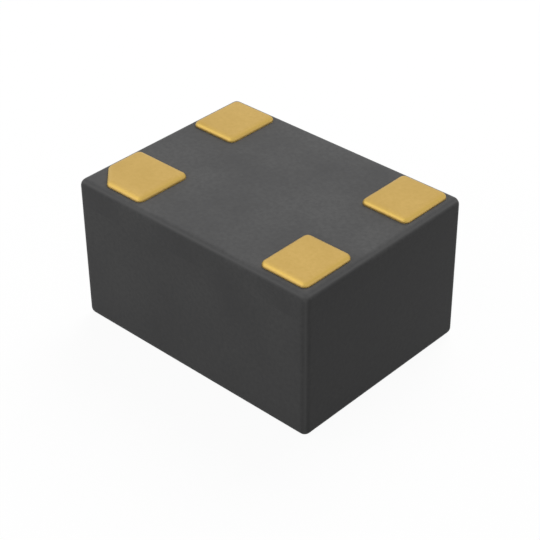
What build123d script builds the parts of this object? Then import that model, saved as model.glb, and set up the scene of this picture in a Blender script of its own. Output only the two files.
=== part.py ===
from build123d import *
import os

# Silicon-resonator clock oscillator in a four-pad moulded land-grid package.
# Millimetres. X runs along the long sides, Y along the short sides, Z up.
# The part lies on its flat marking face, with its solder pads facing up.
# The origin is the middle of the marking face. Everything inside hangs from the
# laminate towards the marking face, so "down" here is the way the dies are stacked.

# Package outside
package_length = 1.60
package_width = 1.20
package_height = 0.89
package_edge_radius = 0.04

# Solder pads, gold-plated copper on the laminate's outer face
pad_height = 0.03
pad_length = 0.30
pad_width = 0.35
pad_margin = 0.05
first_pad_length = 0.375
first_pad_chamfer = 0.125
pad_corner_radius = 0.034
pad_edge_radius = 0.025

# Laminate: core, inner copper and inner solder mask
core_thickness = 0.15
copper_thickness = 0.012
mask_thickness = 0.02
mask_setback = 0.06
mask_window_gap = 0.015
via_radius = 0.05
via_land_radius = 0.08
track_width = 0.06
finger_length = 0.13
finger_width = 0.11
finger_x = 0.64
finger_y = 0.17

# Circuit die
film_thickness = 0.02
ic_length = 0.86
ic_width = 0.76
ic_thickness = 0.22
ic_pad_x = 0.385
ic_pad_y = 0.22

# Resonator die, shorter lid than base, so that a shelf is left for bond pads
base_length = 0.46
base_width = 0.42
base_thickness = 0.11
base_x = -0.09
shelf_width = 0.08
oxide_thickness = 0.008
device_thickness = 0.02
seal_thickness = 0.006
lid_thickness = 0.09
lid_recess = 0.04
frame_wall = 0.05
seal_wall = 0.045

# Vibrating disc and its electrodes
disc_radius = 0.08
stem_radius = 0.015
pit_radius = 0.10
electrode_gap = 0.004
electrode_outer_radius = 0.125
electrode_span = 140
feedthrough_width = 0.02
feedthrough_thickness = 0.004
feedthrough_y = 0.112
feedthrough_cover = 0.002

# Bond pads and gold wires
bond_pad_size = 0.05
bond_pad_thickness = 0.004
resonator_pad_pitch = 0.12
ic_inner_pad_x = 0.26
wire_radius = 0.01
wire_bend_radius = 0.025
ball_radius = 0.023
ball_height = 0.014
ball_edge_radius = 0.005
stitch_length = 0.042
stitch_width = 0.034
stitch_thickness = 0.008
outer_loop_rise = 0.09
inner_loop_rise = 0.07
loop_flat_share = 0.45

# Levels, from the pads down to the resonator's lid
core_top = package_height - pad_height
core_bottom = core_top - core_thickness
copper_bottom = core_bottom - copper_thickness
mask_bottom = core_bottom - mask_thickness
ic_top = mask_bottom - film_thickness
ic_face = ic_top - ic_thickness
ic_pad_face = ic_face - bond_pad_thickness
base_top = ic_face - film_thickness
base_bottom = base_top - base_thickness
oxide_face = base_bottom - oxide_thickness
resonator_pad_face = oxide_face - bond_pad_thickness
device_bottom = oxide_face - device_thickness
seal_bottom = device_bottom - seal_thickness
lid_bottom = seal_bottom - lid_thickness
feedthrough_bottom = oxide_face + feedthrough_cover
feedthrough_top = feedthrough_bottom + feedthrough_thickness

# Places in plan
lid_length = base_length - shelf_width
lid_x = base_x - shelf_width / 2
resonator_pad_x = base_x + (base_length - shelf_width) / 2
pad_center_x = package_length / 2 - pad_margin - pad_length / 2
pad_center_y = package_width / 2 - pad_margin - pad_width / 2

# Terminals in order: number, function, and the corner they stand in
terminals = [
    (1, "standby", -1, -1),
    (2, "ground", -1, 1),
    (3, "output", 1, 1),
    (4, "supply", 1, -1),
]


def slab(length, width, low, high, x=0.0, y=0.0):
    """A block between two levels, centred on a place in plan."""
    block = Box(length, width, high - low)
    return Pos(x, y, (low + high) / 2) * block


def round_post(radius, low, high, x=0.0, y=0.0):
    """A round post between two levels."""
    return Pos(x, y, (low + high) / 2) * Cylinder(radius, high - low)


def package_block():
    """The whole body without pads, every outer edge softly rounded."""
    block = slab(package_length, package_width, 0, core_top)
    return fillet(block.edges(), package_edge_radius)


def above(level):
    """Everything over a level, wide enough to hold the package."""
    return slab(2 * package_length, 2 * package_width, level, level + package_height)


def below(level):
    """Everything under a level, wide enough to hold the package."""
    return slab(2 * package_length, 2 * package_width, level - package_height, level)


def solder_pad(side_x, side_y, length, chamfer):
    """One pad in its package corner. The plating rounds its rim nearly down to the laminate."""
    outer_x = side_x * (package_length / 2 - pad_margin)
    outer_y = side_y * (package_width / 2 - pad_margin)
    inner_x = outer_x - side_x * length
    inner_y = outer_y - side_y * pad_width
    corners = [(inner_x, outer_y), (inner_x, inner_y), (outer_x, inner_y)]
    if chamfer > 0:
        corners.append((outer_x, outer_y - side_y * chamfer))
        corners.append((outer_x - side_x * chamfer, outer_y))
    else:
        corners.append((outer_x, outer_y))
    outline = make_face(Polyline(*corners, close=True))
    outline = fillet(outline.vertices(), pad_corner_radius)
    pad = extrude(Pos(0, 0, core_top) * outline, pad_height, dir=(0, 0, 1))
    rim = pad.edges().group_by(Axis.Z)[-1]
    return fillet(rim, pad_edge_radius)


def via(side_x, side_y):
    """The copper filling of one hole through the core."""
    return round_post(via_radius, core_bottom, core_top, side_x * pad_center_x, side_y * pad_center_y)


def inner_trace(side_x, side_y):
    """Via land, track and bond finger, etched as one piece of copper."""
    land = round_post(
        via_land_radius, copper_bottom, core_bottom, side_x * pad_center_x, side_y * pad_center_y
    )
    track = slab(
        track_width,
        pad_center_y - finger_y,
        copper_bottom,
        core_bottom,
        side_x * (pad_center_x + finger_x) / 2,
        side_y * (pad_center_y + finger_y) / 2,
    )
    finger = slab(
        finger_length, finger_width, copper_bottom, core_bottom, side_x * finger_x, side_y * finger_y
    )
    return land + track + finger


def laminate_core(block, vias):
    """The rigid board: the top of the package block, drilled for its vias."""
    core = block & above(core_bottom)
    for filling in vias:
        core = core - filling
    return core


def solder_mask(traces):
    """The mask over the inner copper, open at each bond finger and set back from the sawn edges."""
    mask = slab(
        package_length - 2 * mask_setback, package_width - 2 * mask_setback, mask_bottom, core_bottom
    )
    for _, _, side_x, side_y in terminals:
        mask = mask - slab(
            finger_length + 2 * mask_window_gap,
            finger_width + 2 * mask_window_gap,
            mask_bottom,
            core_bottom,
            side_x * finger_x,
            side_y * finger_y,
        )
    for copper in traces:
        mask = mask - copper
    return mask


def ic_bond_pads():
    """Aluminium pads on the circuit die: one per terminal, and three that face the resonator."""
    places = [(side_x * ic_pad_x, side_y * ic_pad_y) for _, _, side_x, side_y in terminals]
    places += [(ic_inner_pad_x, row * resonator_pad_pitch) for row in (-1, 0, 1)]
    pads = [slab(bond_pad_size, bond_pad_size, ic_pad_face, ic_face, x, y) for x, y in places]
    return Compound(children=pads)


def feedthroughs():
    """Two straight tracks buried in the oxide, from the electrodes out to the shelf."""
    start = lid_x - feedthrough_width / 2
    end = resonator_pad_x + feedthrough_width / 2
    tracks = [
        slab(
            end - start,
            feedthrough_width,
            feedthrough_bottom,
            feedthrough_top,
            (start + end) / 2,
            side * feedthrough_y,
        )
        for side in (-1, 1)
    ]
    return Compound(children=tracks)


def contact_post(x, y, top):
    """A small square post that drops through the oxide to what it contacts."""
    return slab(feedthrough_width, feedthrough_width, oxide_face, top, x, y)


def resonator_bond_pads():
    """Shelf pads: the outer two reach the buried tracks, the middle one reaches the base."""
    tops = {-1: feedthrough_bottom, 0: base_bottom, 1: feedthrough_bottom}
    pads = []
    for row, top in tops.items():
        pad = slab(
            bond_pad_size,
            bond_pad_size,
            resonator_pad_face,
            oxide_face,
            resonator_pad_x,
            row * resonator_pad_pitch,
        )
        pads.append(pad + contact_post(resonator_pad_x, row * feedthrough_y, top))
    return Compound(children=pads)


def resonator_disc():
    """The vibrating disc on its centre stem, which stands on the base inside the etched pit."""
    disc = round_post(disc_radius, device_bottom, oxide_face, lid_x)
    stem = round_post(stem_radius, oxide_face, base_bottom, lid_x)
    return disc + stem


def electrode(side):
    """A curved electrode beside the disc, with a post down to its buried track."""
    ring = round_post(electrode_outer_radius, device_bottom, oxide_face, lid_x)
    ring = ring - round_post(disc_radius + electrode_gap, device_bottom, oxide_face, lid_x)
    reach = 2 * electrode_outer_radius
    half_span = electrode_span / 2
    edge_point = Vector(reach, 0).rotate(Axis.Z, side * 90 - half_span)
    far_point = Vector(reach, 0).rotate(Axis.Z, side * 90 + half_span)
    peak = Vector(0, side * reach)
    wedge = make_face(Polyline((0, 0), edge_point, peak, far_point, close=True))
    wedge = extrude(Pos(lid_x, 0, device_bottom) * wedge, device_thickness, dir=(0, 0, 1))
    return (ring & wedge) + contact_post(lid_x, side * feedthrough_y, feedthrough_bottom)


def resonator_oxide(tracks, posts):
    """The insulating layer on the base, with the pit under the disc etched away."""
    oxide = slab(base_length, base_width, oxide_face, base_bottom, base_x)
    oxide = oxide - round_post(pit_radius, oxide_face, base_bottom, lid_x)
    for buried in tracks.solids() + posts:
        oxide = oxide - buried
    return oxide


def open_ring(wall, low, high):
    """A rectangular ring as large as the lid, between two levels."""
    outer = slab(lid_length, base_width, low, high, lid_x)
    inner = slab(lid_length - 2 * wall, base_width - 2 * wall, low, high, lid_x)
    return outer - inner


def resonator_cap():
    """The silicon lid, recessed over the disc."""
    lid = slab(lid_length, base_width, lid_bottom, seal_bottom, lid_x)
    recess = slab(
        lid_length - 2 * frame_wall,
        base_width - 2 * frame_wall,
        seal_bottom - lid_recess,
        seal_bottom,
        lid_x,
    )
    return lid - recess


def bond_wire(start, end, rise):
    """A gold wire: a squashed ball at the start, a loop, and a flat stitch at the end."""
    start_point = Vector(*start)
    flat_run = Vector(end[0] - start[0], end[1] - start[1], 0)
    span = flat_run.length
    drop = end[2] - start[2]
    along = flat_run.normalized()
    side = Plane(origin=start_point, x_dir=along, z_dir=(-along.Y, along.X, 0))
    past_end = 2 * wire_radius
    route = FilletPolyline(
        (0, 0),
        (0, rise),
        (loop_flat_share * span, rise),
        (span, -drop - past_end),
        radius=wire_bend_radius,
    )
    section = Plane(origin=start_point, x_dir=along, z_dir=(0, 0, -1)) * Circle(wire_radius)
    wire = sweep(section, path=side * route)
    wire = wire & below(end[2])
    ball = round_post(ball_radius, start[2] - ball_height, start[2], start[0], start[1])
    ball = fillet(ball.edges().group_by(Axis.Z)[0], ball_edge_radius)
    angle = flat_run.get_signed_angle(Vector(1, 0, 0), Vector(0, 0, -1))
    stitch = Pos(end[0], end[1], end[2] - stitch_thickness / 2) * (
        Rot(0, 0, angle) * Box(stitch_length, stitch_width, stitch_thickness)
    )
    return wire + ball + stitch


def mould_compound(block, buried):
    """The moulded body: the package block under the laminate, less everything it flows round."""
    mould = block & below(core_bottom)
    for piece in buried:
        for solid in piece.solids():
            mould = mould - solid
    return mould


pieces = {}

for number, function, side_x, side_y in terminals:
    is_first = number == 1
    length = first_pad_length if is_first else pad_length
    chamfer = first_pad_chamfer if is_first else 0
    pieces[f"pad_{number}_{function}"] = solder_pad(side_x, side_y, length, chamfer)
    pieces[f"via_{number}"] = via(side_x, side_y)
    pieces[f"inner_trace_{number}"] = inner_trace(side_x, side_y)
    pieces[f"bond_wire_{number}"] = bond_wire(
        (side_x * ic_pad_x, side_y * ic_pad_y, ic_pad_face),
        (side_x * finger_x, side_y * finger_y, copper_bottom),
        outer_loop_rise,
    )

block = package_block()
vias = [pieces[f"via_{number}"] for number, _, _, _ in terminals]
traces = [pieces[f"inner_trace_{number}"] for number, _, _, _ in terminals]
pieces["laminate_core"] = laminate_core(block, vias)
pieces["solder_mask"] = solder_mask(traces)

pieces["ic_attach_film"] = slab(ic_length, ic_width, ic_top, mask_bottom)
pieces["oscillator_ic"] = slab(ic_length, ic_width, ic_face, ic_top)
pieces["ic_bond_pads"] = ic_bond_pads()

pieces["resonator_attach_film"] = slab(base_length, base_width, base_top, ic_face, base_x)
pieces["resonator_base"] = slab(base_length, base_width, base_bottom, base_top, base_x)
pieces["resonator_feedthroughs"] = feedthroughs()
pieces["resonator_bond_pads"] = resonator_bond_pads()
pieces["resonator_frame"] = open_ring(frame_wall, device_bottom, oxide_face)
pieces["resonator_disc"] = resonator_disc()
pieces["drive_electrode"] = electrode(1)
pieces["sense_electrode"] = electrode(-1)
pieces["seal_ring"] = open_ring(seal_wall, seal_bottom, device_bottom)
pieces["resonator_cap"] = resonator_cap()
through_oxide = [pieces["drive_electrode"], pieces["sense_electrode"]]
through_oxide += pieces["resonator_bond_pads"].solids()
pieces["resonator_oxide"] = resonator_oxide(pieces["resonator_feedthroughs"], through_oxide)

for name, row in (("sense", -1), ("bias", 0), ("drive", 1)):
    pieces[f"resonator_wire_{name}"] = bond_wire(
        (resonator_pad_x, row * resonator_pad_pitch, resonator_pad_face),
        (ic_inner_pad_x, row * resonator_pad_pitch, ic_pad_face),
        inner_loop_rise,
    )

# The compound meets only what lies open to it. The outlines of the resonator die and of its
# lid stand in for all that is sealed under the lid or buried in the oxide.
die_outside = slab(base_length, base_width, oxide_face, base_top, base_x)
lid_outside = slab(lid_length, base_width, lid_bottom, oxide_face, lid_x)
open_to_mould = ["solder_mask", "ic_attach_film", "oscillator_ic", "ic_bond_pads"]
open_to_mould += ["resonator_attach_film", "resonator_bond_pads"]
metal_runs = ("inner_trace", "bond_wire", "resonator_wire")
open_to_mould += [name for name in pieces if name.startswith(metal_runs)]
buried = [die_outside, lid_outside] + [pieces[name] for name in open_to_mould]
pieces["mould_compound"] = mould_compound(block, buried)

os.makedirs("parts", exist_ok=True)
for name, piece in pieces.items():
    export_step(piece, f"parts/{name}.step")
    print(name, round(piece.volume, 6))
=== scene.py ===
import math

import bmesh
import bpy
from mathutils import Matrix, Vector


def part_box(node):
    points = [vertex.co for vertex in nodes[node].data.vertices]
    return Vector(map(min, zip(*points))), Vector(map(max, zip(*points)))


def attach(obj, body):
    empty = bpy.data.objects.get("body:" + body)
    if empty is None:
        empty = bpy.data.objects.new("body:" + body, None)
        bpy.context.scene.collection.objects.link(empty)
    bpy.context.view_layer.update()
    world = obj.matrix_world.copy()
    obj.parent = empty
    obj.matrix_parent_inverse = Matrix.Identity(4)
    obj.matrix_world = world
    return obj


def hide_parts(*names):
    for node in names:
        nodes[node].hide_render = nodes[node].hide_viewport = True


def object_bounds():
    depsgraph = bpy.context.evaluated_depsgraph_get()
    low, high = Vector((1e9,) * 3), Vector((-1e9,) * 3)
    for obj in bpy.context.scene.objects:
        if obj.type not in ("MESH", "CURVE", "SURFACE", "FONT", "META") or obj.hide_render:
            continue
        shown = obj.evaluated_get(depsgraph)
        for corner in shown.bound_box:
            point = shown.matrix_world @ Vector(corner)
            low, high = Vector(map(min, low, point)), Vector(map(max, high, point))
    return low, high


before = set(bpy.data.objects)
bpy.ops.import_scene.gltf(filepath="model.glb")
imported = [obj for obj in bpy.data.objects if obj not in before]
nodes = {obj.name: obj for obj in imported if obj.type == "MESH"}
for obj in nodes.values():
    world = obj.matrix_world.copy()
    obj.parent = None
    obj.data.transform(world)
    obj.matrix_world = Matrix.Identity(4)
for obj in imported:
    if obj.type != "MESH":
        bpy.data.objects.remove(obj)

cad_low, cad_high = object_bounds()
mm = 0.001

# ---------------------------------------------------------------------------
# Laminate board. A rigid resin-and-glass board, dyed charcoal right through,
# drilled for its four vias and sawn flush with the mould on all four sides.
# ---------------------------------------------------------------------------

edge_radius = 0.041 * mm
edge_steps = 12
crease_angle = math.radians(40)
clear_skin = 0.05 * mm
charcoal = (0.078, 0.078, 0.079, 1)
charcoal_fleck = (0.109, 0.109, 0.109, 1)
# Painted highlight: a lighter charcoal laid on the rounded edges in place of the light they catch.
charcoal_edge_highlight = (0.126, 0.126, 0.126, 1)
charcoal_gloss = 0.62
charcoal_sheen = 0.12
board_grain = 45
board_relief = 0.0008 * mm
gloss_spread = 0.12
relief_share = 0.5
cloud_share = 0.07
fleck_starts = 0.12
fleck_full = 0.42
# The painted edge highlight starts, and is full, as the surface turns from flat towards half way round
# an edge.
edge_highlight_starts = 0.90
edge_highlight_full = 0.72


def grain_group():
    """Fine grain in a solid: patchy colour, patchy gloss and a height, all at a stated grain size."""
    group = bpy.data.node_groups.new("fine_grain", "ShaderNodeTree")
    face = group.interface
    face.new_socket("Color", in_out="INPUT", socket_type="NodeSocketColor")
    face.new_socket("Fleck Color", in_out="INPUT", socket_type="NodeSocketColor")
    face.new_socket("Grains per mm", in_out="INPUT", socket_type="NodeSocketFloat")
    face.new_socket("Roughness", in_out="INPUT", socket_type="NodeSocketFloat")
    face.new_socket("Roughness Spread", in_out="INPUT", socket_type="NodeSocketFloat")
    face.new_socket("Color", in_out="OUTPUT", socket_type="NodeSocketColor")
    face.new_socket("Roughness", in_out="OUTPUT", socket_type="NodeSocketFloat")
    face.new_socket("Height", in_out="OUTPUT", socket_type="NodeSocketFloat")
    tree, link = group.nodes, group.links.new
    given = tree.new("NodeGroupInput")
    out = tree.new("NodeGroupOutput")
    place = tree.new("ShaderNodeTexCoord")
    per_metre = tree.new("ShaderNodeMath")
    per_metre.operation = "DIVIDE"
    per_metre.inputs[1].default_value = mm
    link(given.outputs["Grains per mm"], per_metre.inputs[0])
    grain = tree.new("ShaderNodeTexNoise")
    grain.inputs["Detail"].default_value = 4
    grain.inputs["Roughness"].default_value = 0.6
    link(place.outputs["Object"], grain.inputs["Vector"])
    link(per_metre.outputs[0], grain.inputs["Scale"])
    cloud_scale = tree.new("ShaderNodeMath")
    cloud_scale.operation = "MULTIPLY"
    cloud_scale.inputs[1].default_value = cloud_share
    link(per_metre.outputs[0], cloud_scale.inputs[0])
    cloud = tree.new("ShaderNodeTexNoise")
    cloud.inputs["Detail"].default_value = 2
    link(place.outputs["Object"], cloud.inputs["Vector"])
    link(cloud_scale.outputs[0], cloud.inputs["Scale"])
    both = tree.new("ShaderNodeMath")
    both.operation = "MULTIPLY"
    link(grain.outputs["Fac"], both.inputs[0])
    link(cloud.outputs["Fac"], both.inputs[1])
    share = tree.new("ShaderNodeMapRange")
    share.inputs["From Min"].default_value = fleck_starts
    share.inputs["From Max"].default_value = fleck_full
    link(both.outputs[0], share.inputs["Value"])
    tint = tree.new("ShaderNodeMix")
    tint.data_type = "RGBA"
    link(share.outputs[0], tint.inputs["Factor"])
    link(given.outputs["Color"], tint.inputs["A"])
    link(given.outputs["Fleck Color"], tint.inputs["B"])
    link(tint.outputs["Result"], out.inputs["Color"])
    swing = tree.new("ShaderNodeMath")
    swing.operation = "MULTIPLY_ADD"
    link(share.outputs[0], swing.inputs[0])
    link(given.outputs["Roughness Spread"], swing.inputs[1])
    link(given.outputs["Roughness"], swing.inputs[2])
    link(swing.outputs[0], out.inputs["Roughness"])
    link(grain.outputs["Fac"], out.inputs["Height"])
    return group


def edge_highlight_group():
    """How far a surface has turned round an edge or corner: 0 on flat faces, 1 half way round an edge.
    It places the painted edge highlight.
    """
    group = bpy.data.node_groups.new("painted_edge_highlight", "ShaderNodeTree")
    group.interface.new_socket("Mask", in_out="OUTPUT", socket_type="NodeSocketFloat")
    tree, link = group.nodes, group.links.new
    out = tree.new("NodeGroupOutput")
    surface = tree.new("ShaderNodeNewGeometry")
    size = tree.new("ShaderNodeVectorMath")
    size.operation = "ABSOLUTE"
    link(surface.outputs["Normal"], size.inputs[0])
    split = tree.new("ShaderNodeSeparateXYZ")
    link(size.outputs["Vector"], split.inputs[0])
    wider = tree.new("ShaderNodeMath")
    wider.operation = "MAXIMUM"
    link(split.outputs["X"], wider.inputs[0])
    link(split.outputs["Y"], wider.inputs[1])
    widest = tree.new("ShaderNodeMath")
    widest.operation = "MAXIMUM"
    link(wider.outputs[0], widest.inputs[0])
    link(split.outputs["Z"], widest.inputs[1])
    mask = tree.new("ShaderNodeMapRange")
    mask.inputs["From Min"].default_value = edge_highlight_starts
    mask.inputs["From Max"].default_value = edge_highlight_full
    link(widest.outputs[0], mask.inputs["Value"])
    link(mask.outputs[0], out.inputs["Mask"])
    return group


fine_grain = grain_group()
painted_edge_highlight = edge_highlight_group()


def edge_highlight_tint(tree, color, highlight_tone):
    """Mixes a colour towards a lighter tone on rounded edges: a painted highlight."""
    roundness = tree.nodes.new("ShaderNodeGroup")
    roundness.node_tree = painted_edge_highlight
    mix = tree.nodes.new("ShaderNodeMix")
    mix.data_type = "RGBA"
    mix.inputs["B"].default_value = highlight_tone
    tree.links.new(roundness.outputs["Mask"], mix.inputs["Factor"])
    tree.links.new(color, mix.inputs["A"])
    return mix.outputs["Result"]


def grained(name, color, fleck, per_mm, roughness, relief, highlight_tone=None):
    """A finish with fine grain in its colour, gloss and relief, and, if a tone is given, a painted
    highlight on its rounded edges. Its shader comes back with it.
    """
    material = bpy.data.materials.new(name)
    material.use_nodes = True
    tree = material.node_tree
    shader = tree.nodes["Principled BSDF"]
    grain = tree.nodes.new("ShaderNodeGroup")
    grain.node_tree = fine_grain
    grain.inputs["Color"].default_value = color
    grain.inputs["Fleck Color"].default_value = fleck
    grain.inputs["Grains per mm"].default_value = per_mm
    grain.inputs["Roughness"].default_value = roughness
    grain.inputs["Roughness Spread"].default_value = gloss_spread
    tone = grain.outputs["Color"]
    if highlight_tone:
        tone = edge_highlight_tint(tree, tone, highlight_tone)
    tree.links.new(tone, shader.inputs["Base Color"])
    tree.links.new(grain.outputs["Roughness"], shader.inputs["Roughness"])
    bump = tree.nodes.new("ShaderNodeBump")
    bump.inputs["Distance"].default_value = relief
    bump.inputs["Strength"].default_value = relief_share
    tree.links.new(grain.outputs["Height"], bump.inputs["Height"])
    tree.links.new(bump.outputs["Normal"], shader.inputs["Normal"])
    return material, shader


def charcoal_resin(name, per_mm, relief):
    """Charcoal filled resin: matt, faintly flecked, and painted a shade lighter on its rounded edges as
    a highlight.
    """
    material, shader = grained(
        name, charcoal, charcoal_fleck, per_mm, charcoal_gloss, relief, charcoal_edge_highlight
    )
    shader.inputs["Specular IOR Level"].default_value = charcoal_sheen
    return material


def plain_block(low, high):
    """A sharp-edged block between two corners, for other shapes to start from."""
    block = bmesh.new()
    bmesh.ops.create_cube(block, size=1)
    for vertex in block.verts:
        for axis in range(3):
            vertex.co[axis] = high[axis] if vertex.co[axis] > 0 else low[axis]
    return block


def rounded_block(low, high):
    """The whole package body with every edge and corner rounded."""
    block = plain_block(low, high)
    bmesh.ops.bevel(
        block,
        geom=block.edges[:],
        offset=edge_radius,
        segments=edge_steps,
        profile=0.5,
        affect="EDGES",
    )
    return block


def cut_level(block, level, keep_above):
    """Saws a block level, throws one half away and closes the cut face."""
    cut = bmesh.ops.bisect_plane(
        block,
        geom=block.verts[:] + block.edges[:] + block.faces[:],
        plane_co=(0, 0, level),
        plane_no=(0, 0, 1),
        clear_inner=keep_above,
        clear_outer=not keep_above,
    )
    rim = [piece for piece in cut["geom_cut"] if isinstance(piece, bmesh.types.BMEdge)]
    bmesh.ops.contextual_create(block, geom=rim)
    bmesh.ops.recalc_face_normals(block, faces=block.faces[:])


def finish_piece(name, shape, material):
    """Makes an object from a mesh, smooth but for its creases, and gives it its material."""
    mesh = bpy.data.meshes.new(name)
    shape.to_mesh(mesh)
    shape.free()
    mesh.shade_smooth()
    mesh.set_sharp_from_angle(angle=crease_angle)
    mesh.materials.append(material)
    piece = bpy.data.objects.new(name, mesh)
    bpy.context.scene.collection.objects.link(piece)
    return piece


def even_normals(piece):
    """Lets each flat face set the shading at its border, so that only the roundings turn."""
    weighted = piece.modifiers.new("flat_faces_first", "WEIGHTED_NORMAL")
    weighted.keep_sharp = True


def hollow_out(body, node, low, high):
    """Cuts into a body the hollows of its CAD solid. A block, less that solid, leaves their shapes."""
    hollows = finish_piece("hollows", plain_block(low, high), body.data.materials[0])
    for piece, cutter in ((hollows, nodes[node]), (body, hollows)):
        cut = piece.modifiers.new("cut", "BOOLEAN")
        cut.operation = "DIFFERENCE"
        cut.solver = "EXACT"
        cut.object = cutter
        result = piece.evaluated_get(bpy.context.evaluated_depsgraph_get())
        mesh = bpy.data.meshes.new_from_object(result)
        for handed_on in [layer for layer in mesh.attributes if layer.name == "custom_normal"]:
            mesh.attributes.remove(handed_on)
        piece.modifiers.remove(cut)
        piece.data = mesh
    bpy.data.objects.remove(hollows)
    body.data.set_sharp_from_angle(angle=crease_angle)


def dress(names, material):
    """Gives pieces from CAD their finish."""
    for name in names:
        for slot in nodes[name].material_slots:
            slot.material = material


board_low, board_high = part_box("laminate_core")
mould_low, mould_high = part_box("mould_compound")
seam = board_low.z
board_shape = rounded_block(mould_low, board_high)
cut_level(board_shape, seam, keep_above=True)
board_finish = charcoal_resin("laminate_resin", board_grain, board_relief)
board = finish_piece("laminate_board", board_shape, board_finish)
skin = Vector((clear_skin, clear_skin, -clear_skin))
hollow_out(board, "laminate_core", board_low + skin, board_high - skin)
even_normals(board)
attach(board, "root")
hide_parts("laminate_core")

# ---------------------------------------------------------------------------
# Board copper. Each hole is plated shut with copper, and on the inner face a land,
# a track and a bond finger are etched as one from foil, then roughened to hold the mask.
# ---------------------------------------------------------------------------

plated_copper = (0.66, 0.33, 0.20, 1)
plated_copper_fleck = (0.74, 0.39, 0.25, 1)
etched_copper = (0.50, 0.23, 0.14, 1)
etched_copper_fleck = (0.68, 0.35, 0.22, 1)


def grained_metal(name, color, fleck, per_mm, roughness, relief):
    """Metal whose grains differ a little in colour and gloss."""
    material, shader = grained(name, color, fleck, per_mm, roughness, relief)
    shader.inputs["Metallic"].default_value = 1
    return material


def named(prefix):
    """The CAD pieces whose names begin alike, in order."""
    return sorted(name for name in nodes if name.startswith(prefix))


plated_finish = grained_metal(
    "via_copper", plated_copper, plated_copper_fleck, per_mm=160, roughness=0.30, relief=0.0004 * mm
)
etched_finish = grained_metal(
    "inner_copper", etched_copper, etched_copper_fleck, per_mm=240, roughness=0.48, relief=0.0012 * mm
)
dress(named("via_"), plated_finish)
dress(named("inner_trace_"), etched_finish)

# ---------------------------------------------------------------------------
# Solder mask. Dark green photo-set resin over the inner copper, with a window
# washed out round each bond finger. It sets with a faint orange peel.
# ---------------------------------------------------------------------------

mask_green = (0.018, 0.085, 0.048, 1)
mask_green_fleck = (0.026, 0.115, 0.066, 1)
mask_coat = 0.4
mask_coat_roughness = 0.12
mask_finish, mask_shader = grained(
    "mask_resin", mask_green, mask_green_fleck, per_mm=18, roughness=0.22, relief=0.0015 * mm
)
mask_shader.inputs["Coat Weight"].default_value = mask_coat
mask_shader.inputs["Coat Roughness"].default_value = mask_coat_roughness
dress(["solder_mask"], mask_finish)

# ---------------------------------------------------------------------------
# Attach films. Filled epoxy film, cut with each die from its wafer, that glues
# the circuit die to the mask and the resonator die to the circuit die.
# ---------------------------------------------------------------------------

film_cream = (0.52, 0.48, 0.40, 1)
film_cream_fleck = (0.68, 0.65, 0.57, 1)
film_glow = 0.15
film_glow_depth = 0.01 * mm
film_finish, film_shader = grained(
    "attach_film", film_cream, film_cream_fleck, per_mm=55, roughness=0.42, relief=0.001 * mm
)
film_shader.inputs["Subsurface Weight"].default_value = film_glow
film_shader.inputs["Subsurface Scale"].default_value = film_glow_depth
dress(["ic_attach_film", "resonator_attach_film"], film_finish)

# ---------------------------------------------------------------------------
# Circuit die. Silicon, ground thin and sawn on its sides. Its lower face is the
# worked one: blocks of circuit and metal tracks under glass, and aluminium bond pads.
# ---------------------------------------------------------------------------

silicon = (0.15, 0.16, 0.19, 1)
silicon_fleck = (0.19, 0.20, 0.23, 1)
circuit_tint = (0.30, 0.22, 0.30, 1)
circuit_metal = (0.42, 0.40, 0.30, 1)
silicon_relief = 0.0003 * mm
silicon_metallic = 0.55
blocks_per_mm = 14
track_wave_scale = 3 / mm
worked_tilt = -0.5
worked_flat = -0.9
aluminium = (0.74, 0.75, 0.77, 1)
aluminium_fleck = (0.84, 0.85, 0.86, 1)


def polished_silicon(name, color, fleck, per_mm, roughness):
    """Silicon: dark, hard and half metallic, with a fine ground texture."""
    material, shader = grained(name, color, fleck, per_mm, roughness, silicon_relief)
    shader.inputs["Metallic"].default_value = silicon_metallic
    return material, shader


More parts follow.
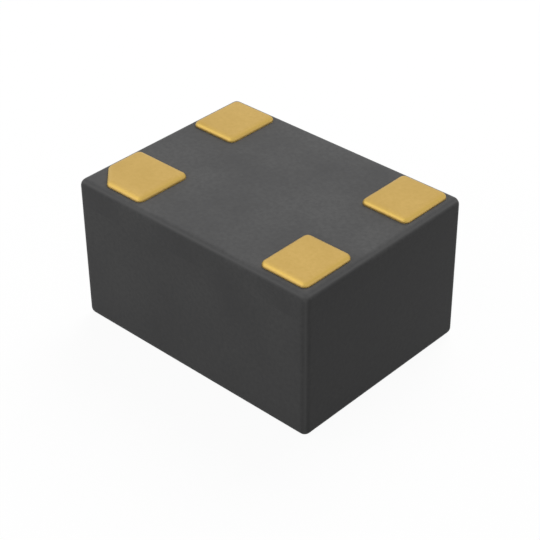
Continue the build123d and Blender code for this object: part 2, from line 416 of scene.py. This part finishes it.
def circuit_silicon():
    """Silicon whose worked face shows circuit blocks of several tints, ruled with fine tracks."""
    material, shader = polished_silicon(
        "silicon_circuit", silicon, silicon_fleck, per_mm=80, roughness=0.24
    )
    tree, link = material.node_tree, material.node_tree.links.new
    plain = shader.inputs["Base Color"].links[0].from_socket
    place = tree.nodes.new("ShaderNodeTexCoord")
    blocks = tree.nodes.new("ShaderNodeTexVoronoi")
    blocks.distance = "CHEBYCHEV"
    blocks.inputs["Scale"].default_value = blocks_per_mm / mm
    link(place.outputs["Object"], blocks.inputs["Vector"])
    shade = tree.nodes.new("ShaderNodeSeparateColor")
    link(blocks.outputs["Color"], shade.inputs["Color"])
    block_tone = tree.nodes.new("ShaderNodeMix")
    block_tone.data_type = "RGBA"
    block_tone.inputs["A"].default_value = silicon
    block_tone.inputs["B"].default_value = circuit_tint
    link(shade.outputs["Red"], block_tone.inputs["Factor"])
    tracks = tree.nodes.new("ShaderNodeTexWave")
    tracks.bands_direction = "X"
    tracks.inputs["Scale"].default_value = track_wave_scale
    link(place.outputs["Object"], tracks.inputs["Vector"])
    track_share = tree.nodes.new("ShaderNodeMath")
    track_share.operation = "MULTIPLY"
    link(tracks.outputs["Fac"], track_share.inputs[0])
    link(shade.outputs["Green"], track_share.inputs[1])
    worked = tree.nodes.new("ShaderNodeMix")
    worked.data_type = "RGBA"
    worked.inputs["B"].default_value = circuit_metal
    link(track_share.outputs[0], worked.inputs["Factor"])
    link(block_tone.outputs["Result"], worked.inputs["A"])
    surface = tree.nodes.new("ShaderNodeNewGeometry")
    facing = tree.nodes.new("ShaderNodeSeparateXYZ")
    link(surface.outputs["Normal"], facing.inputs[0])
    is_worked = tree.nodes.new("ShaderNodeMapRange")
    is_worked.inputs["From Min"].default_value = worked_tilt
    is_worked.inputs["From Max"].default_value = worked_flat
    link(facing.outputs["Z"], is_worked.inputs["Value"])
    both = tree.nodes.new("ShaderNodeMix")
    both.data_type = "RGBA"
    link(is_worked.outputs[0], both.inputs["Factor"])
    link(plain, both.inputs["A"])
    link(worked.outputs["Result"], both.inputs["B"])
    link(both.outputs["Result"], shader.inputs["Base Color"])
    return material


dress(["oscillator_ic"], circuit_silicon())
bond_pad_finish = grained_metal(
    "pad_aluminium", aluminium, aluminium_fleck, per_mm=260, roughness=0.34, relief=0.0004 * mm
)
dress(["ic_bond_pads", "resonator_bond_pads"], bond_pad_finish)

# ---------------------------------------------------------------------------
# Resonator die. A silicon base with an oxide skin and two buried silicon tracks, on
# which the disc and its electrodes are etched from one film; a metal seal holds the lid.
# ---------------------------------------------------------------------------

film_silicon = (0.23, 0.24, 0.28, 1)
film_silicon_fleck = (0.29, 0.30, 0.34, 1)
buried_silicon = (0.21, 0.18, 0.23, 1)
buried_silicon_fleck = (0.27, 0.23, 0.29, 1)
oxide_blue = (0.11, 0.21, 0.42, 1)
oxide_violet = (0.22, 0.17, 0.42, 1)
oxide_coat = 0.6
seal_alloy = (0.66, 0.57, 0.38, 1)
seal_alloy_fleck = (0.78, 0.70, 0.52, 1)

wafer_finish, _ = polished_silicon("silicon", silicon, silicon_fleck, per_mm=80, roughness=0.28)
device_finish, _ = polished_silicon(
    "device_silicon", film_silicon, film_silicon_fleck, per_mm=300, roughness=0.33
)
buried_finish, _ = polished_silicon(
    "feedthrough_silicon", buried_silicon, buried_silicon_fleck, per_mm=400, roughness=0.38
)
oxide_finish, oxide_shader = grained(
    "oxide", oxide_blue, oxide_violet, per_mm=30, roughness=0.08, relief=0.0001 * mm
)
oxide_shader.inputs["Coat Weight"].default_value = oxide_coat
seal_finish = grained_metal(
    "seal_metal", seal_alloy, seal_alloy_fleck, per_mm=220, roughness=0.40, relief=0.0006 * mm
)
dress(["resonator_base", "resonator_cap"], wafer_finish)
dress(["resonator_oxide"], oxide_finish)
dress(["resonator_feedthroughs"], buried_finish)
dress(["resonator_frame", "resonator_disc", "drive_electrode", "sense_electrode"], device_finish)
dress(["seal_ring"], seal_finish)

# ---------------------------------------------------------------------------
# Bond wires. Drawn gold wire: a ball welded to one pad, a low loop, and a flat
# stitch welded to the other end. Four go to the board and three join the two dies.
# ---------------------------------------------------------------------------

drawn_gold = (0.82, 0.56, 0.20, 1)
drawn_gold_fleck = (0.88, 0.64, 0.28, 1)
wire_finish = grained_metal(
    "wire_gold", drawn_gold, drawn_gold_fleck, per_mm=320, roughness=0.24, relief=0.0002 * mm
)
dress(named("bond_wire_") + named("resonator_wire_"), wire_finish)

# ---------------------------------------------------------------------------
# Mould. Black epoxy with silica filler, pressed round the dies and wires while
# hot, then sawn flush with the board. Its lower face is the marking face.
# ---------------------------------------------------------------------------

mould_grain = 40
mould_relief = 0.001 * mm

mould_shape = rounded_block(mould_low, board_high)
cut_level(mould_shape, seam, keep_above=False)
mould = finish_piece("mould_body", mould_shape, charcoal_resin("mould_epoxy", mould_grain, mould_relief))
skin = Vector((clear_skin, clear_skin, clear_skin))
through_seam = Vector((-clear_skin, -clear_skin, clear_skin))
hollow_out(mould, "mould_compound", mould_low + skin, mould_high + through_seam)
even_normals(mould)
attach(mould, "root")
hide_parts("mould_compound")

# ---------------------------------------------------------------------------
# Solder pads. Copper lands, plated with nickel and a flash of gold, proud of
# the board. The plating rounds their rims. Pad 1 has its outer corner cut off.
# ---------------------------------------------------------------------------

pad_corner = 0.036 * mm
rim_run = 0.034 * mm
rim_fall = 0.028 * mm
rim_steps = 10
corner_steps = 10
first_pad = "pad_1_standby"
first_pad_cut = 0.125 * mm
gold = (0.575, 0.383, 0.106, 1)
gold_fleck = (0.660, 0.457, 0.148, 1)
# Painted highlight: a brighter, yellower gold laid on the pads' rounded rims.
gold_rim_highlight = (0.585, 0.402, 0.102, 1)


def pad_corners(low, high, cut):
    """The pad's corners in plan, anticlockwise. A cut takes the outermost one and leaves two."""
    places = ((low.x, low.y), (high.x, low.y), (high.x, high.y), (low.x, high.y))
    corners = [Vector(place) for place in places]
    if cut == 0:
        return corners
    outer = corners.index(max(corners, key=lambda corner: corner.length))
    corner = corners[outer]
    before = corners[outer - 1]
    after = corners[(outer + 1) % len(corners)]
    ends = [corner + (side - corner).normalized() * cut for side in (before, after)]
    return corners[:outer] + ends + corners[outer + 1 :]


def inset_outline(corners, inset):
    """The outline inside the corners by an inset, each corner a true arc."""
    radius = pad_corner - inset
    points = []
    count = len(corners)
    for index, corner in enumerate(corners):
        before = (corner - corners[index - 1]).normalized()
        after = (corners[(index + 1) % count] - corner).normalized()
        turn = before.angle_signed(after)
        half = abs(turn) / 2
        back = pad_corner * math.tan(half)
        out_before = Vector((before.y, -before.x))
        center = corner - before * back - out_before * pad_corner
        start = math.atan2(out_before.y, out_before.x)
        for step in range(corner_steps + 1):
            angle = start + abs(turn) * step / corner_steps
            points.append(center + radius * Vector((math.cos(angle), math.sin(angle))))
    return points


def pad_shape(low, high, cut):
    """A pad as rings of its outline: straight up its side, then round over the rim to its flat top."""
    corners = pad_corners(low, high, cut)
    levels = [(0, low.z)]
    for step in range(rim_steps + 1):
        angle = math.pi / 2 * step / rim_steps
        levels.append((rim_run * (1 - math.cos(angle)), high.z - rim_fall * (1 - math.sin(angle))))
    shape = bmesh.new()
    rings = []
    for inset, level in levels:
        outline = inset_outline(corners, inset)
        rings.append([shape.verts.new((point.x, point.y, level)) for point in outline])
    for lower, upper in zip(rings, rings[1:]):
        for index in range(len(lower)):
            after = (index + 1) % len(lower)
            shape.faces.new((lower[index], lower[after], upper[after], upper[index]))
    shape.faces.new(rings[-1])
    shape.faces.new(reversed(rings[0]))
    return shape


# The plating takes the painted rim highlight on its roundings.
plating, plating_shader = grained(
    "pad_gold", gold, gold_fleck, per_mm=50, roughness=0.44, relief=0.0006 * mm, highlight_tone=gold_rim_highlight
)
plating_shader.inputs["Metallic"].default_value = 1
for name in named("pad_"):
    low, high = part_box(name)
    cut = first_pad_cut if name == first_pad else 0
    pad = finish_piece("solder_" + name, pad_shape(low, high, cut), plating)
    even_normals(pad)
    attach(pad, "root")
    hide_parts(name)

# ---------------------------------------------------------------------------
# Floor, light and camera. A plain white table under a large soft light from behind,
# with a smaller one in front to open up the near sides.
# ---------------------------------------------------------------------------

table_radius = 60 * mm
table_sides = 96
table_white = (1, 1, 1, 1)
table_bounce = (0.22, 0.22, 0.22, 1)
shadow_share = 0.055
room_fill = 0.32
middle = (cad_low + cad_high) / 2


def looked_at(tree):
    """1 for rays that show a surface to the eye or in a reflection, 0 for the light it gives."""
    rays = tree.nodes.new("ShaderNodeLightPath")
    seen = rays.outputs["Is Camera Ray"]
    for kind in ("Is Glossy Ray", "Is Transmission Ray"):
        either = tree.nodes.new("ShaderNodeMath")
        either.operation = "MAXIMUM"
        tree.links.new(seen, either.inputs[0])
        tree.links.new(rays.outputs[kind], either.inputs[1])
        seen = either.outputs[0]
    return seen


def white_table():
    """White to the eye and in reflections, with a faint shadow; plain grey in the light it returns."""
    material = bpy.data.materials.new("table")
    material.use_nodes = True
    tree = material.node_tree
    shader = tree.nodes["Principled BSDF"]
    link = tree.links.new
    seen = looked_at(tree)
    tint = tree.nodes.new("ShaderNodeMix")
    tint.data_type = "RGBA"
    tint.inputs["A"].default_value = table_bounce
    tint.inputs["B"].default_value = table_white
    link(seen, tint.inputs["Factor"])
    link(tint.outputs["Result"], shader.inputs["Base Color"])
    shader.inputs["Roughness"].default_value = 1
    shader.inputs["Specular IOR Level"].default_value = 0
    glow = tree.nodes.new("ShaderNodeEmission")
    share = tree.nodes.new("ShaderNodeMath")
    share.operation = "MULTIPLY"
    share.inputs[1].default_value = 1 - shadow_share
    link(seen, share.inputs[0])
    both = tree.nodes.new("ShaderNodeMixShader")
    link(share.outputs[0], both.inputs["Fac"])
    link(shader.outputs[0], both.inputs[1])
    link(glow.outputs[0], both.inputs[2])
    link(both.outputs[0], tree.nodes["Material Output"].inputs["Surface"])
    return material


table_shape = bmesh.new()
bmesh.ops.create_circle(table_shape, cap_ends=True, radius=table_radius, segments=table_sides)
table = finish_piece("table", table_shape, white_table())
table.location.z = cad_low.z

world = bpy.data.worlds.new("room")
world.use_nodes = True
bpy.context.scene.world = world
room = world.node_tree
room_level = room.nodes.new("ShaderNodeMapRange")
room_level.inputs["To Min"].default_value = room_fill
room_level.inputs["To Max"].default_value = 1
room.links.new(looked_at(room), room_level.inputs["Value"])
room.links.new(room_level.outputs[0], room.nodes["Background"].inputs["Strength"])
room.nodes["Background"].inputs["Color"].default_value = (1, 1, 1, 1)


def soft_light(name, azimuth, elevation, distance, width, height, level, gleams):
    """A soft light aimed at the part. Its level is the light it gives a face turned to it."""
    lamp = bpy.data.lights.new(name, "AREA")
    lamp.shape = "ELLIPSE"
    lamp.size = width
    lamp.size_y = height
    lamp.energy = level * (math.pi * distance) ** 2
    across = math.cos(math.radians(elevation))
    turn = math.radians(azimuth)
    toward = Vector(
        (math.sin(turn) * across, -math.cos(turn) * across, math.sin(math.radians(elevation)))
    )
    light = bpy.data.objects.new(name, lamp)
    light.location = middle + toward * distance
    light.rotation_mode = "QUATERNION"
    light.rotation_quaternion = toward.to_track_quat("Z", "Y")
    light.visible_camera = False
    light.visible_glossy = gleams
    bpy.context.scene.collection.objects.link(light)


soft_light(
    "back_light",
    azimuth=200,
    elevation=50,
    distance=20 * mm,
    width=15 * mm,
    height=15 * mm,
    level=0.78,
    gleams=False,
)
soft_light(
    "front_light",
    azimuth=-20,
    elevation=34,
    distance=10 * mm,
    width=17 * mm,
    height=8 * mm,
    level=0.295,
    gleams=True,
)

camera_heading = 43.138
camera_tilt = 55.402
camera_roll = -0.550
camera_from = Vector((4.695, -5.000, 5.076)) * mm
camera_lens = 103.92
camera_sensor = 36
camera_data = bpy.data.cameras.new("camera")
camera_data.lens = camera_lens
camera_data.sensor_width = camera_sensor
camera_data.clip_start = 0.5 * mm
camera_data.clip_end = 500 * mm
camera = bpy.data.objects.new("camera", camera_data)
turn = Matrix.Rotation(math.radians(camera_heading), 4, "Z")
tilt = Matrix.Rotation(math.radians(camera_tilt), 4, "X")
roll = Matrix.Rotation(math.radians(camera_roll), 4, "Z")
camera.matrix_world = Matrix.Translation(camera_from) @ turn @ tilt @ roll
bpy.context.scene.collection.objects.link(camera)
bpy.context.scene.camera = camera
bpy.context.scene.view_settings.view_transform = "Standard"
